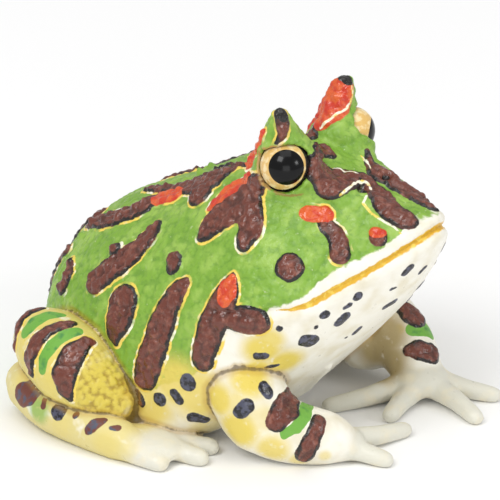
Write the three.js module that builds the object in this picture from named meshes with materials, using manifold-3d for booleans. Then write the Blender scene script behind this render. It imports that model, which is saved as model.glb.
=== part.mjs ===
// A painted toy figure of a horned frog that squats with its head raised.
// Millimetres, +Z up, +X towards the snout, +Y to the frog's left. The figure stands on Z = 0.
// One hull carries the trunk, head and jaw, and two thin curved cuts part them. Every limb is a round-ended
// tube, cut clear of the body it grows from and of the segment before it.

import * as THREE from "three";
import { mergeVertices } from "three/addons/utils/BufferGeometryUtils.js";
import Module from "manifold-3d";

const wasm = await Module();
wasm.setup();

// Driving sizes
const PART_GAP = 0.3; // between neighbouring parts
const RUMP_ROUND = 8; // length over which the rear end rounds off
const SNOUT_ROUND = 3.6; // the same for the front end
const EYE_RADIUS = 4.3;
const EYE_CENTRE = { x: 15.6, y: 10.5, z: 50.9 };
const BROW_CENTRE = { x: 14.6, y: 8.6, z: 48.6 };
const BROW_HALF = { x: 6.6, y: 4.9, z: 5.8 };
const HORN_TIP = { x: 14.4, y: 10.3, z: 59.4 };
const NOSTRIL = { x: 26.4, y: 2.7, z: 46.0 };
const NOSTRIL_RADIUS = 0.8;
const FINGER_RADII = [2.3, 1.8, 1.5]; // root, knuckle, tip
const TOE_RADII = [2.1, 1.85, 1.65];
const FINGER_ROOT_HEIGHT = 2.6;
const TOE_ROOT_HEIGHT = 2.2;

// How finely the curved forms are divided
const HULL_SIDES = 36;
const HULL_ROWS = 35;
const CAP_ROWS = 2;

// Stations of the hull from rump to snout. top and bottom are heights on the middle plane, half is the half width,
// and wide is the height of the widest line, which on the head is the lip. over and under tell how full the section
// is above and below that line: 2 is an ellipse, less is a roof, more is a box.
const STATIONS = [
  { x: -37.5, top: 20.5, bottom: 5.0, half: 11.5, wide: 12.5, over: 2.0, under: 2.4 },
  { x: -31.0, top: 28.4, bottom: 1.0, half: 18.5, wide: 12.5, over: 1.9, under: 3.0 },
  { x: -22.0, top: 35.2, bottom: 0.2, half: 24.0, wide: 12.5, over: 1.85, under: 4.0 },
  { x: -10.0, top: 40.6, bottom: -0.1, half: 27.4, wide: 13.0, over: 1.85, under: 5.2 },
  { x: 2.0, top: 47.0, bottom: -0.1, half: 27.8, wide: 15.5, over: 1.8, under: 5.6 },
  { x: 11.0, top: 51.4, bottom: 2.6, half: 26.6, wide: 22.6, over: 1.65, under: 2.8 },
  { x: 18.0, top: 50.2, bottom: 9.4, half: 25.4, wide: 28.5, over: 1.55, under: 2.3 },
  { x: 24.0, top: 47.6, bottom: 15.6, half: 23.0, wide: 30.6, over: 1.45, under: 2.1 },
  { x: 30.0, top: 45.4, bottom: 22.6, half: 17.2, wide: 33.6, over: 1.4, under: 2.1 },
  { x: 34.5, top: 44.4, bottom: 28.2, half: 10.8, wide: 36.8, over: 1.5, under: 2.1 },
  { x: 37.5, top: 43.9, bottom: 32.4, half: 6.6, wide: 39.2, over: 1.7, under: 2.1 },
  { x: 40.6, top: 43.9, bottom: 36.4, half: 3.6, wide: 41.4, over: 2.0, under: 2.1 },
];
const RUMP_X = STATIONS[0].x;
const SNOUT_X = STATIONS[STATIONS.length - 1].x;

// The mouth line and the neck line, as X and Z. They meet at the corner of the jaw.
const JAW_CORNER = [12.2, 28.4];
const MOUTH_LINE = [
  JAW_CORNER,
  [17, 29.4],
  [22, 30.2],
  [26.2, 30.9],
  [30.5, 33.8],
  [34.5, 36.7],
  [37.5, 39.2],
  [40.6, 41.9],
  [45, 45.6],
];
const NECK_LINE = [[1.5, 56], [6, 41], JAW_CORNER, [16.4, 16], [18, 8], [18.5, -4]];

// A digit starts at a root on the pad, sways by bend of its length, and ends at a tip on the ground: X, Y each.
// The forelegs are posed differently. The right hand turns in under the chest and the left one spreads wide.
const FORELEGS = {
  right: {
    upper: [point(9, -17, 17), point(13.2, -20.0, 13.4), point(16.0, -20.6, 9.4)],
    upperRadii: [5.8, 6.9, 6.7],
    fore: [point(16.0, -20.6, 8.0), point(21.4, -18.4, 5.4), point(27.6, -14.6, 4.0)],
    foreRadii: [6.4, 5.6, 4.7],
    palm: { centre: point(28.8, -13.0, 2.8), half: point(4.3, 4.6, 2.8) },
    digits: [
      { root: [28.8, -13.2], tip: [37.2, -11.3], bend: 0.02 },
      { root: [28.4, -11.0], tip: [33.5, 0.8], bend: -0.04 },
      { root: [26.4, -11.0], tip: [22.6, -4.8], bend: 0.04 },
      { root: [25.0, -12.6], tip: [18.8, -7.4], bend: -0.05 },
    ],
  },
  left: {
    upper: [point(9, 17, 17), point(12.4, 19.8, 11.6), point(14.0, 19.6, 7.6)],
    upperRadii: [6.0, 6.8, 6.6],
    fore: [point(15.3, 21.4, 10.6), point(20.5, 20.8, 8.0), point(25.2, 18.6, 4.8)],
    foreRadii: [6.8, 5.8, 4.7],
    palm: { centre: point(27, 17.0, 3.4), half: point(5.2, 5.2, 3.0) },
    digits: [
      { root: [29.0, 19.6], tip: [39.2, 22.4], bend: -0.05 },
      { root: [29.6, 17.0], tip: [41.3, 12.4], bend: 0.04 },
      { root: [27.6, 14.6], tip: [28.4, 4.6], bend: -0.03 },
      { root: [25.0, 15.0], tip: [17.2, 2.0], bend: 0.05 },
    ],
  },
};

// The right hind leg, which the left one mirrors: the thigh runs forward to the knee, the shank folds back beside
// it to the heel, and the foot lies forward along the ground.
const HINDLEG = {
  thigh: [point(-22, -17, 12), point(-16, -21.6, 11.2), point(-9.6, -25.4, 7.8)],
  thighRadii: [7.0, 7.6, 6.4],
  shank: [point(-9.8, -28.4, 7.8), point(-16.6, -29.2, 12.3), point(-23.8, -26.8, 14.0)],
  shankRadii: [6.2, 7.4, 6.6],
  tarsus: [point(-26.8, -28.2, 5.7), point(-20, -31.2, 4.4), point(-10, -33.0, 3.5), point(-3.0, -33.3, 2.6)],
  tarsusRadii: [4.7, 4.5, 3.9, 3.5],
  pad: { centre: point(-0.5, -30.8, 2.2), half: point(8.2, 5.4, 2.3) },
  digits: [
    { root: [-4, -34.6], tip: [5.6, -34.5], bend: 0 },
    { root: [-2, -30.8], tip: [10.2, -28.8], bend: 0.03 },
    { root: [-2, -29.0], tip: [9.2, -24.2], bend: -0.02 },
    { root: [-3, -27.8], tip: [4.6, -22.6], bend: -0.03 },
    { root: [-5, -27.2], tip: [-0.4, -22.4], bend: -0.03 },
  ],
};

const FINISHES = {
  green: { color: 0x7cb84a, roughness: 0.5 },
  cream: { color: 0xe9e2c8, roughness: 0.5 },
  yellow: { color: 0xe2cf7c, roughness: 0.5 },
  orange: { color: 0xd8552b, roughness: 0.45 },
  black: { color: 0x15130f, roughness: 0.08 },
};
const FINISH_OF_PART = [
  [/^(torso|head)$/, "green"],
  [/^(lower_jaw|hand|foot)/, "cream"],
  [/^(upper_arm|forearm|thigh|shank)/, "yellow"],
  [/^horn/, "orange"],
  [/^eye/, "black"],
];

// A function declaration, so that the tables above can use it.
function point(x, y, z) {
  return new THREE.Vector3(x, y, z);
}

// The same point on the frog's right for side -1, and on its left for side 1.
const beside = (p, side) => point(p.x, Math.abs(p.y) * side, p.z);

// A smooth value of one field of the stations at x: cubic Hermite pieces through every station.
function stationValue(field, x) {
  const last = STATIONS.length - 1;
  let i = 0;
  while (i < last - 1 && x > STATIONS[i + 1].x) i += 1;
  const slopeAt = (k) => {
    const before = STATIONS[Math.max(0, k - 1)];
    const after = STATIONS[Math.min(last, k + 1)];
    return (after[field] - before[field]) / (after.x - before.x);
  };
  const from = STATIONS[i];
  const to = STATIONS[i + 1];
  const span = to.x - from.x;
  const t = (x - from.x) / span;
  const blend = t * t * (3 - 2 * t);
  const leave = t * (1 - t) ** 2 * span * slopeAt(i);
  const arrive = t * t * (t - 1) * span * slopeAt(i + 1);
  return THREE.MathUtils.lerp(from[field], to[field], blend) + leave + arrive;
}

// A closed skin: a sphere whose grid point in a row, at an angle round it, is moved to place(row, angle).
function closedSkin(sides, rows, place) {
  const geometry = new THREE.SphereGeometry(1, sides, rows);
  const { position, uv } = geometry.attributes;
  for (let i = 0; i < position.count; i += 1) {
    const row = Math.round((1 - uv.getY(i)) * rows);
    const p = place(row, 2 * Math.PI * uv.getX(i));
    position.setXYZ(i, p.x, p.y, p.z);
  }
  return geometry;
}

// The solid that a closed geometry bounds, with its faces turned outwards if they face in.
function solid(geometry) {
  geometry.deleteAttribute("normal");
  geometry.deleteAttribute("uv");
  const merged = mergeVertices(geometry, 1e-4);
  const vertProperties = new Float32Array(merged.attributes.position.array);
  const triVerts = new Uint32Array(merged.index.array);
  const mesh = () => new wasm.Mesh({ numProp: 3, vertProperties, triVerts });
  const made = new wasm.Manifold(mesh());
  if (made.volume() > 0) return made;
  for (let i = 0; i < triVerts.length; i += 3) {
    [triVerts[i + 1], triVerts[i + 2]] = [triVerts[i + 2], triVerts[i + 1]];
  }
  return new wasm.Manifold(mesh());
}

const joined = (solids) => solids.reduce((all, next) => all.add(next));
const cutClear = (made, others) => others.reduce((left, other) => left.subtract(other), made);
const byVolume = (a, b) => b.volume() - a.volume();
const largest = (made) => made.decompose().sort(byVolume)[0];

// Trunk, head and jaw as one hull. grow swells it evenly, to cut its neighbours clear.
function hull(grow = 0) {
  const place = (row, angle) => {
    const ease = (1 - Math.cos((Math.PI * row) / HULL_ROWS)) / 2;
    const x = THREE.MathUtils.lerp(RUMP_X, SNOUT_X, ease);
    const at = (field) => stationValue(field, x);
    if (row === 0) return point(x - grow, 0, at("wide"));
    if (row === HULL_ROWS) return point(x + grow, 0, at("wide"));
    const rear = Math.min(1, (x - RUMP_X) / RUMP_ROUND);
    const front = Math.min(1, (SNOUT_X - x) / SNOUT_ROUND);
    const round = Math.sqrt(1 - (1 - rear) ** 2) * Math.sqrt(1 - (1 - front) ** 2);
    const up = Math.cos(angle);
    const across = Math.sin(angle);
    const power = 2 / (up >= 0 ? at("over") : at("under"));
    const reach = up >= 0 ? at("top") - at("wide") : at("wide") - at("bottom");
    const height = Math.sign(up) * Math.abs(up) ** power * (reach * round + grow);
    const width = Math.sign(across) * Math.abs(across) ** power * (at("half") * round + grow);
    return point(x, width, at("wide") + height);
  };
  return solid(closedSkin(HULL_SIDES, HULL_ROWS, place));
}

// A round-ended tube through points, with a radius at each. flat squashes its section and grow swells it.
// level is the direction that its section's width stays square to.
function tube(points, radii, { sides = 12, steps = 8, flat = 1, grow = 0, level = point(0, 0, 1) } = {}) {
  const curve = new THREE.CatmullRomCurve3(points, false, "centripetal");
  const lastKey = radii.length - 1;
  const radiusAt = (t) => {
    const key = Math.min(lastKey - 1, Math.floor(t * lastKey));
    return THREE.MathUtils.lerp(radii[key], radii[key + 1], t * lastKey - key) + grow;
  };
  const place = (row, angle) => {
    const t = THREE.MathUtils.clamp((row - CAP_ROWS) / steps, 0, 1);
    const beyond = t === 0 ? CAP_ROWS - row : row - CAP_ROWS - steps;
    const turn = (Math.PI / 2) * Math.max(0, beyond / CAP_ROWS);
    const tangent = curve.getTangent(t);
    const across = new THREE.Vector3().crossVectors(level, tangent).normalize();
    const over = new THREE.Vector3().crossVectors(tangent, across);
    const r = radiusAt(t);
    const push = Math.sin(turn) * r * (t === 0 ? -1 : 1);
    const wide = turn === Math.PI / 2 ? 0 : Math.cos(turn) * r;
    return curve
      .getPoint(t)
      .addScaledVector(tangent, push)
      .addScaledVector(across, wide * Math.cos(angle))
      .addScaledVector(over, wide * Math.sin(angle) * flat);
  };
  return solid(closedSkin(sides, steps + 2 * CAP_ROWS, place));
}

// An ellipsoid with the given centre and half axes.
function ellipsoid(centre, half, grow = 0, sides = 18, rows = 12) {
  const ball = new THREE.SphereGeometry(1, sides, rows);
  ball.rotateX(Math.PI / 2);
  ball.scale(half.x + grow, half.y + grow, half.z + grow);
  ball.translate(centre.x, centre.y, centre.z);
  return solid(ball);
}

// A thin curved wall right across the figure, along a line of X and Z.
function wall(line) {
  const curve = new THREE.SplineCurve(line.map(([x, z]) => new THREE.Vector2(x, z)));
  const steps = 24;
  const edge = (side) =>
    Array.from({ length: steps + 1 }, (_, i) => {
      const tangent = curve.getTangent(i / steps);
      const normal = new THREE.Vector2(-tangent.y, tangent.x);
      return curve.getPoint(i / steps).addScaledVector(normal, (side * PART_GAP) / 2);
    });
  const outline = new THREE.Shape([...edge(1), ...edge(-1).reverse()]);
  const depth = 80;
  const strip = new THREE.ExtrudeGeometry(outline, { depth, bevelEnabled: false });
  strip.translate(0, 0, -depth / 2);
  strip.rotateX(Math.PI / 2);
  return solid(strip);
}

// All that is under the ground. Cutting it away leaves a small flat wherever the figure rests.
function underground() {
  const size = 200;
  const box = new THREE.BoxGeometry(size, size, size);
  box.translate(0, 0, -size / 2);
  return solid(box);
}

// The raised brow that carries an eye and a horn
const brow = (side, grow) => ellipsoid(beside(BROW_CENTRE, side), BROW_HALF, grow);

// The ridge from the brow along the snout, over the nostril
function canthus(side, grow) {
  const route = [point(18.5, 7.4, 47.4), point(25.5, 6.0, 45.4), point(32, 4.2, 43.4), point(36.8, 2.8, 42.6)];
  const radii = [2.4, 2.1, 1.8, 1.4];
  return tube(route.map((p) => beside(p, side)), radii, { sides: 10, steps: 7, grow });
}

function eyeball(side, grow) {
  return ellipsoid(beside(EYE_CENTRE, side), point(EYE_RADIUS, EYE_RADIUS, EYE_RADIUS), grow, 20, 14);
}

// The left horn is slimmer than the right one.
function horn(side) {
  const route = [point(14.8, 7.8, 50.5), point(14.1, 9.2, 55.0), HORN_TIP];
  const radii = side < 0 ? [5.4, 3.8, 1.75] : [5.0, 2.9, 1.65];
  return tube(route.map((p) => beside(p, side)), radii, { steps: 7, level: point(1, 0, 0) });
}

// Everything that limbs and horns grow from
function bodyMass(grow) {
  const brows = [-1, 1].flatMap((side) => [brow(side, grow), canthus(side, grow)]);
  return joined([hull(grow), ...brows]);
}

// A pad with a digit from each root to each tip. side -1 mirrors it to the other side of the frog.
function paw(pad, digits, radii, rootHeight, side) {
  const fingers = digits.map(({ root, tip, bend }) => {
    const start = point(root[0], root[1], rootHeight);
    const end = point(tip[0], tip[1], radii[2] * 0.8);
    const middle = start.clone().lerp(end, 0.5);
    middle.x -= bend * (end.y - start.y);
    middle.y += bend * (end.x - start.x);
    const route = [start, middle, end].map((p) => point(p.x, p.y * side, p.z));
    return tube(route, radii, { sides: 8, steps: 4, flat: 0.9 });
  });
  const centre = point(pad.centre.x, pad.centre.y * side, pad.centre.z);
  return joined([ellipsoid(centre, pad.half, 0, 16, 8), ...fingers]);
}

// A limb's three segments, nearest the body first. The last one is the hand or foot.
function foreleg(side) {
  const pose = side < 0 ? FORELEGS.right : FORELEGS.left;
  return {
    upper_arm: (grow) => tube(pose.upper, pose.upperRadii, { grow }),
    forearm: (grow) => tube(pose.fore, pose.foreRadii, { grow }),
    hand: () => paw(pose.palm, pose.digits, FINGER_RADII, FINGER_ROOT_HEIGHT, 1),
  };
}

function hindleg(side) {
  const place = (points) => points.map((p) => beside(p, side));
  return {
    thigh: (grow) => tube(place(HINDLEG.thigh), HINDLEG.thighRadii, { grow }),
    shank: (grow) => tube(place(HINDLEG.shank), HINDLEG.shankRadii, { sides: 14, grow }),
    foot: () =>
      joined([
        tube(place(HINDLEG.tarsus), HINDLEG.tarsusRadii),
        paw(HINDLEG.pad, HINDLEG.digits, TOE_RADII, TOE_ROOT_HEIGHT, -side),
      ]),
  };
}

// Trunk, head and jaw: the three pieces that the neck and mouth walls leave of the hull.
function trunkHeadJaw(ground) {
  const cuts = [-1, 1].flatMap((side) => [
    eyeball(side, PART_GAP),
    ellipsoid(beside(NOSTRIL, side), point(NOSTRIL_RADIUS, NOSTRIL_RADIUS, NOSTRIL_RADIUS), 0, 8, 6),
  ]);
  const pieces = cutClear(bodyMass(0), [ground, ...cuts, wall(NECK_LINE), wall(MOUTH_LINE)])
    .decompose()
    .sort(byVolume)
    .slice(0, 3);
  const [torso, ...front] = pieces;
  const height = (made) => made.boundingBox().max[2];
  const [head, jaw] = front.sort((a, b) => height(b) - height(a));
  return { torso, head, lower_jaw: jaw };
}

// A limb's segments as solids, each clear of the body and of the segments before it.
function clearedLimb(segments, sideName, body, ground) {
  const before = [body];
  return Object.entries(segments).map(([name, make]) => {
    const made = cutClear(make(0), [...before, ground]);
    before.push(make(PART_GAP));
    return [`${name}_${sideName}`, made];
  });
}

function meshOf(name, made) {
  const { vertProperties, triVerts } = largest(made).getMesh();
  const geometry = new THREE.BufferGeometry();
  geometry.setAttribute("position", new THREE.BufferAttribute(new Float32Array(vertProperties), 3));
  geometry.setIndex(new THREE.BufferAttribute(new Uint32Array(triVerts), 1));
  geometry.computeVertexNormals();
  const [, finish] = FINISH_OF_PART.find(([pattern]) => pattern.test(name));
  const mesh = new THREE.Mesh(geometry, new THREE.MeshStandardMaterial(FINISHES[finish]));
  mesh.name = name;
  return mesh;
}

// The whole figure
const ground = underground();
const body = bodyMass(PART_GAP);
const parts = Object.entries(trunkHeadJaw(ground));
for (const [sideName, side] of [["right", -1], ["left", 1]]) {
  parts.push([`eye_${sideName}`, eyeball(side, 0)]);
  parts.push([`horn_${sideName}`, cutClear(horn(side), [body, eyeball(side, PART_GAP)])]);
  parts.push(...clearedLimb(foreleg(side), sideName, body, ground));
  parts.push(...clearedLimb(hindleg(side), sideName, body, ground));
}

const frog = new THREE.Group();
for (const [name, made] of parts) frog.add(meshOf(name, made));

// The origin is the middle of the figure's outer box, on the ground.
const box = new THREE.Box3().setFromObject(frog, true);
const middle = box.getCenter(new THREE.Vector3());
frog.position.set(-middle.x, -middle.y, -box.min.z);

export default frog;
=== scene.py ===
import math
import random

import bpy
import numpy as np
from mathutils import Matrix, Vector
from mathutils.bvhtree import BVHTree


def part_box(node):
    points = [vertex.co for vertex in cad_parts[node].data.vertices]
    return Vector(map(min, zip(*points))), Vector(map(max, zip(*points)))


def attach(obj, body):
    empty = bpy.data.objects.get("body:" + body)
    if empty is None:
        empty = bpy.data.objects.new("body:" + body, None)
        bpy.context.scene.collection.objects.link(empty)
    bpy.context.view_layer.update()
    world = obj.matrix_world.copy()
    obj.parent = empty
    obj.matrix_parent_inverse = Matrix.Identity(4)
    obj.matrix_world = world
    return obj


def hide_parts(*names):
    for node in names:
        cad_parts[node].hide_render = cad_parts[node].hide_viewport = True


# A hand-painted toy frog. Lengths in this file are millimetres, and only the finished meshes are in metres.
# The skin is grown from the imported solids. Its paint is laid by named marks, given in pixels of the photo and
# cast from the camera on to the skin. Most of them are mirrored for the side that the photo hides.
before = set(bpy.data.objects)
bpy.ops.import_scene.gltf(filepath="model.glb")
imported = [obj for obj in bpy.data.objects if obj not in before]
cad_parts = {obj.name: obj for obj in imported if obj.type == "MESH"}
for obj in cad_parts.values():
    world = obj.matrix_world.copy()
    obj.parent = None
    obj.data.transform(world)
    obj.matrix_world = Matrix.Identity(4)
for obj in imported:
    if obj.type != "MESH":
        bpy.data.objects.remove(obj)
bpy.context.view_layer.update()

MM = 0.001

# The camera, as fitted to the photograph
PHOTO_SIDE = 500
AZIMUTH = 34.0
ELEVATION = 22.5
DISTANCE = 620.0
LENS = 250.0
SENSOR = 36.0
SHIFT = (0.012, 0.001)
EYES_AHEAD_OF_TARGET = 15.6
TARGET_HEIGHT = 28.0
PIXELS_PER_MM = PHOTO_SIDE * LENS / SENSOR / DISTANCE

# The skin's mesh
GAP_FILL = 0.25  # each solid swells by this, so that the gaps between them close
VOXEL = 0.36
FAR = 4.0  # distances are measured up to here
AT_A_SEAM = 1.0  # a corner this near to a solid may be on the line where it meets another
SMOOTH_SHARE = 0.5
SMOOTH_STEPS = {"body": 110, "limb": 46, "digit": 11, "horn": 12}
GROUND_BAND = 0.6  # corners below this keep their plain shape, so that the figure rests on flats
SEARCH_REACH = 50.0  # how far before and behind the target a line of sight is searched, and in what steps
SEARCH_STEP = 2.0

EYES = ("eye_right", "eye_left")
GROUPS = {
    "body": ("torso", "head", "lower_jaw", "horn_right", "horn_left"),
    "arm_right": ("upper_arm_right", "forearm_right", "hand_right"),
    "arm_left": ("upper_arm_left", "forearm_left", "hand_left"),
    "leg_right": ("thigh_right", "shank_right"),
    "leg_left": ("thigh_left", "shank_left"),
    "foot_right": ("foot_right",),
    "foot_left": ("foot_left",),
}

# The fields of the paints that aren't laid in one of their own name. What is in the field "outlined" gets a
# yellow line round it.
LAID_IN = {
    "bar": ("bar", "outlined"),
    "plain bar": ("bar",),
    "red": ("red", "outlined"),
    "plain red": ("red",),
}
SPOT_STRETCH = 1.3  # how much wider than it looks a spot may be on skin that turns away
MARK_STRETCH = 1.9
MARK_SHRINK = 0.7  # and how much narrower
ROUTE_STEP = 5.0  # the longest step along a route in pixels
HIDDEN_ROUTE_STEP = 1.5  # and in millimetres
MIRRORED_SIZES = (0.9, 1.1)  # a mirrored mark's size lies between these
MIRRORED_SHIFT = {"x": 0.6, "z": 0.5}  # and it may be moved by this, along and up

# Paint marks: what it is, its paint, what it lies on, whether the left side repeats it, and then its route,
# as pixels across, pixels down and its radius in pixels.
MARKS = [
    ("behind the eye, rear lobe", "bar", "body", True,
     [(262, 180, 8), (250, 192, 11), (238, 205, 14), (222, 216, 12), (212, 226, 10), (204, 235, 6)]),
    ("behind the eye, front lobe", "bar", "body", True,
     [(250, 192, 11), (251, 212, 12), (250, 232, 12), (245, 245, 7)]),
    ("its red edge", "red", "body", True, [(249, 178, 3.5), (236, 187, 5), (222, 198, 5), (212, 208, 3)]),
    ("saddle", "bar", "body", True,
     [(234, 170, 3), (223, 175, 7), (210, 182, 11), (196, 184, 9), (184, 188, 6), (170, 189, 4),
      (148, 189, 3)]),
    ("saddle, lower lobe", "bar", "body", True, [(205, 187, 8), (201, 195, 8)]),
    ("saddle, red patch", "red", "body", True, [(175, 196, 6), (162, 199, 6)]),
    ("ridge over the rear", "bar", "body", True,
     [(156, 200, 6), (146, 207, 7), (133, 212, 7), (119, 217, 7), (105, 221, 6.5), (92, 223, 5)]),
    ("line behind the horn", "bar", "body", True, [(250, 165, 1.8), (232, 165, 2.0), (216, 170, 1.2)]),
    ("flank, upper bar", "bar", "body", True,
     [(157, 226, 3.5), (149, 237, 7), (135, 252, 9), (120, 263, 10), (106, 273, 10), (96, 281, 9)]),
    ("its lump", "bar", "body", True, [(116, 250, 6)]),
    ("flank dot", "plain bar", "body", True, [(174, 261, 8), (173, 267, 7)]),
    ("rump bar, seen edge on", "bar", "body", True, [(71, 262, 3), (70, 275, 4), (64, 286, 5)]),
    ("flank drop", "bar", "body", True, [(124, 303, 14), (119, 320, 12.5), (115, 334, 7), (117, 344, 2)]),
    ("flank, long bar", "bar", "body", True,
     [(186, 282, 4), (178, 291, 8.5), (170, 305, 11), (162, 325, 12.5), (154, 348, 13), (148, 368, 13),
      (145, 379, 11)]),
    ("flank, front bar", "bar", "body", True,
     [(233, 275, 2), (229, 290, 11), (222, 307, 15), (211, 328, 14), (206, 345, 13), (203, 358, 12),
      (203, 364, 8)]),
    ("its lobe", "bar", "body", True, [(232, 318, 12), (248, 320, 14.5), (257, 321, 13)]),
    ("its red top", "red", "body", True, [(232, 279, 4), (229, 290, 9.5), (226, 298, 7)]),
    ("between the eyes", "plain bar", "body", False, [(315, 149, 3), (322, 151, 6), (331, 156, 3)]),
    ("snout stripe", "plain bar", "body", False,
     [(312, 160, 4), (321, 170, 10), (331, 181, 14), (342, 181, 11), (350, 179, 7), (358, 177, 4.5),
      (366, 180, 5), (375, 192, 7.5), (386, 205, 9.5), (400, 217, 10), (410, 222, 8)]),
    ("line under the snout stripe", "rim", "body", False,
     [(340, 196, 1.0), (348, 190, 1.3), (356, 185, 1.4), (362, 183.5, 1.7), (368, 187, 1.5),
      (369.5, 193, 1.2)]),
    ("line round the nostril", "rim", "body", False,
     [(366, 197, 1.2), (363, 203, 1.4), (371, 213, 1.2), (383, 221, 1.1), (395, 228, 0.9), (401, 234, 0.7)]),
    ("line over the snout stripe", "rim", "body", False, [(324, 166, 0.6), (343, 173, 0.8), (357, 176, 0.6)]),
    ("far snout stripe", "plain bar", "body", False,
     [(367, 152, 3), (370, 164, 5), (378, 174, 8), (390, 181, 7), (404, 190, 6), (415, 197, 6), (424, 204, 4),
      (434, 211, 2)]),
    ("line by the far snout stripe", "rim", "body", False,
     [(361, 155, 0.7), (365, 163, 0.9), (370, 170, 0.8)]),
    ("stroke under the eye", "rust", "body", True, [(276, 195, 0.8), (290, 196, 0.9), (303, 194, 0.8)]),
    ("cheek", "red", "body", True, [(310, 214, 9), (324, 215, 9.5)]),
    ("cheek tail", "bar", "body", True,
     [(320, 217, 6), (326, 225, 8), (334, 234, 9), (338, 243, 10), (340, 254, 11)]),
    ("cheek dot", "plain bar", "body", True, [(290, 268, 15)]),
    ("lip dot", "plain bar", "body", True, [(379, 238, 9.5)]),
    ("its red half", "plain red", "body", True, [(376, 233, 6), (382, 234, 5)]),
    ("horn stripe", "bar", "body", False, [(281, 114, 7), (283, 124, 7), (283, 134, 5), (277, 142, 2.5)]),
    ("horn stripe, black tip", "black", "body", False, [(280, 111, 5), (283, 118, 4)]),
    ("horn, red edge", "red", "body", True, [(264, 132, 2), (259, 144, 3.5), (254, 157, 3.5), (251, 166, 3)]),
    ("far horn, tip", "black", "body", False, [(342, 75, 4.5), (348, 80, 4.5)]),
    ("far horn, red face", "plain red", "body", False,
     [(343, 86, 10), (342, 96, 11.5), (336, 105, 12), (328, 114, 10), (322, 123, 5)]),
    ("far horn, red rear", "plain red", "body", False,
     [(336, 86, 8), (330, 96, 9), (324, 105, 9), (318, 114, 6)]),
    ("far horn, pale edge", "rim", "body", False,
     [(350, 86, 0.8), (351, 98, 1.1), (345, 110, 1.2), (336, 116, 1.2), (328, 123, 1.0), (321, 129, 0.8)]),
    ("far horn, rear edge", "plain bar", "body", False, [(321, 115, 1.5), (316, 126, 3), (311, 138, 4)]),
    # The near arm
    ("forearm patch", "plain bar", "arm_right", False, [(291, 397, 8), (285, 408, 15), (277, 421, 11)]),
    ("forearm band", "leaf", "arm_right", False,
     [(307, 404, 6), (304, 417, 7.5), (296, 428, 7), (285, 434, 5)]),
    ("wrist band", "plain bar", "arm_right", False,
     [(318, 421, 7.5), (315, 432, 9), (309, 446, 10), (304, 455, 9)]),
    ("shoulder spot", "spot", "arm_right", False, [(263, 387, 5), (268, 394, 6)]),
    ("elbow spot", "spot", "arm_right", False, [(240, 413, 7), (247, 406, 7.5)]),
    # The far arm
    ("far arm, upper patch", "plain bar", "arm_left", False, [(405, 309, 7), (414, 315, 8)]),
    ("far arm, band", "leaf", "arm_left", False, [(412, 330, 5.5), (428, 331, 5.5)]),
    ("far arm, lower patch", "plain bar", "arm_left", False, [(411, 350, 7), (421, 350, 11), (432, 353, 9)]),
    # The near hind leg
    ("leg, first brown band", "bar", "leg_right", True,
     [(43, 309, 2), (30, 312, 4), (20, 321, 4), (16, 335, 3), (15, 348, 2.5)]),
    ("leg, first green band", "leaf", "leg_right", True,
     [(26, 332, 4), (35, 322, 5.5), (47, 315, 4.5), (61, 315, 3)]),
    ("leg, second brown band", "bar", "leg_right", True,
     [(31, 372, 3), (29, 358, 5.5), (36, 342, 7), (48, 331, 6), (60, 326, 5), (72, 324, 3)]),
    ("leg, second green band", "leaf", "leg_right", True,
     [(42, 370, 3.5), (44, 358, 5), (52, 345, 6), (64, 335, 5.5), (78, 331, 4)]),
    ("leg, third brown band", "bar", "leg_right", True,
     [(70, 398, 3), (65, 389, 8), (64, 373, 13), (73, 354, 12), (87, 342, 6.5), (93, 342, 3)]),
    # The near foot
    ("heel spot", "dot", "foot_right", True, [(22, 394, 11.5), (29, 392, 12)]),
    ("foot, small spot", "dot", "foot_right", True, [(44, 400, 3), (43, 406, 3.2)]),
    ("foot, dark spot", "spot", "foot_right", True, [(59, 411, 8)]),
    ("foot, dot", "dot", "foot_right", True, [(75, 415, 3.3)]),
    ("foot, smear", "dot", "foot_right", True, [(89, 430, 4.5), (94, 424, 5.5), (104, 420, 2.5)]),
    ("foot, front dot", "dot", "foot_right", True, [(111, 428, 3), (117, 428, 3.5)]),
    # Dark spots low on the flank
    ("flank spot, high", "spot", "body", True, [(188, 382, 8.5)]),
    ("flank spot, middle", "spot", "body", True, [(174, 393, 4), (179, 400, 4)]),
    ("flank spot, rear", "spot", "body", True, [(160, 399, 7)]),
    ("flank fleck by the knee", "plain bar", "body", True, [(136, 395, 3), (142, 403, 4)]),
    ("flank spot, low", "spot", "body", True, [(194, 417, 5), (205, 420, 4.5)]),
    # Grey spots on the throat
    ("throat spot 1", "spot", "body", True, [(404.5, 273, 3.4), (410, 267, 3.7)]),
    ("throat spot 2", "spot", "body", False, [(420, 272, 2.4), (425, 267, 2.4)]),
    ("throat spot 3", "spot", "body", True, [(391, 289, 2.4), (396, 287, 1.7)]),
    ("throat spot 4", "spot", "body", True, [(386, 306, 4.2), (393, 302, 4.2)]),
    ("throat spot 5", "spot", "body", True, [(358, 295, 4.9)]),
    ("throat spot 6", "spot", "body", True, [(344.5, 308, 1.9), (349, 305, 1.9)]),
    ("throat spot 7", "spot", "body", True, [(324.5, 314, 5.2)]),
    ("throat spot 8", "spot", "body", True, [(339.5, 322, 4.7), (345, 316, 4.7)]),
    ("throat spot 9", "spot", "body", True, [(316, 327, 2.8)]),
    ("throat spot 10", "spot", "body", True, [(355, 332, 3.2), (359, 328, 3.2)]),
    ("throat spot 11", "spot", "body", True, [(346, 337, 2.1)]),
    ("throat spot 12", "spot", "body", True, [(305, 340, 6.2), (311, 341, 6.7)]),
    ("throat spot 13", "spot", "body", True, [(279, 328, 3.8)]),
    ("shoulder dot", "spot", "body", True, [(258, 356, 4), (264, 355.5, 4)]),
    ("shoulder dash", "spot", "body", True, [(266, 368, 1.6), (272, 366, 2.4), (278, 364.5, 1)]),
]

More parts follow.
